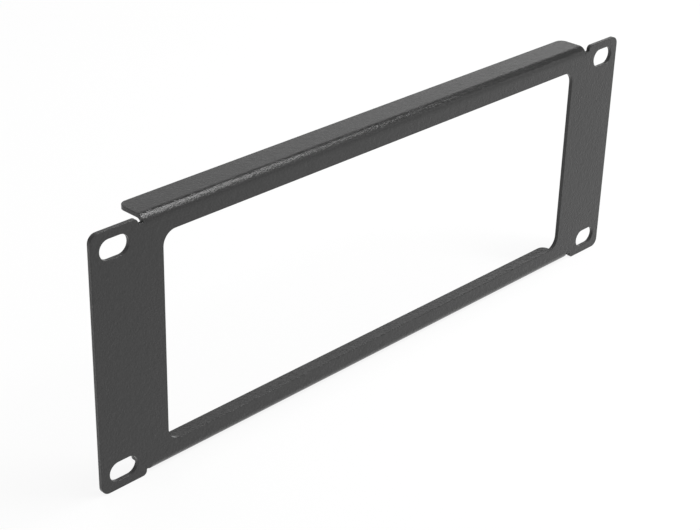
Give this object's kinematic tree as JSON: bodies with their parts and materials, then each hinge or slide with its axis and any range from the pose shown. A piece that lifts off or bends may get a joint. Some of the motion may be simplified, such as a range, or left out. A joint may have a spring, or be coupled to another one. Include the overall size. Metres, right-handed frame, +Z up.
{
  "type": "rack panel with opening",
  "caption": "Folded sheet steel rack panel with two slotted mounting ears, rearward flanges and one large rectangular opening.",
  "frame": {"origin": "centre of the four mounting slots, on the rear face of the ears that seats on the rack's rails", "axes": "+X along the width, to the right seen from the front; +Y into the rack, the way the flanges point; +Z up"},
  "size_m": [0.254, 0.0122, 0.0888],
  "materials": {
    "powder_coat": "fine-textured dark grey powder coat, satin to matt"
  },
  "bodies": {
    "root": {"rack_panel": "powder_coat"}
  },
  "joints": []
}
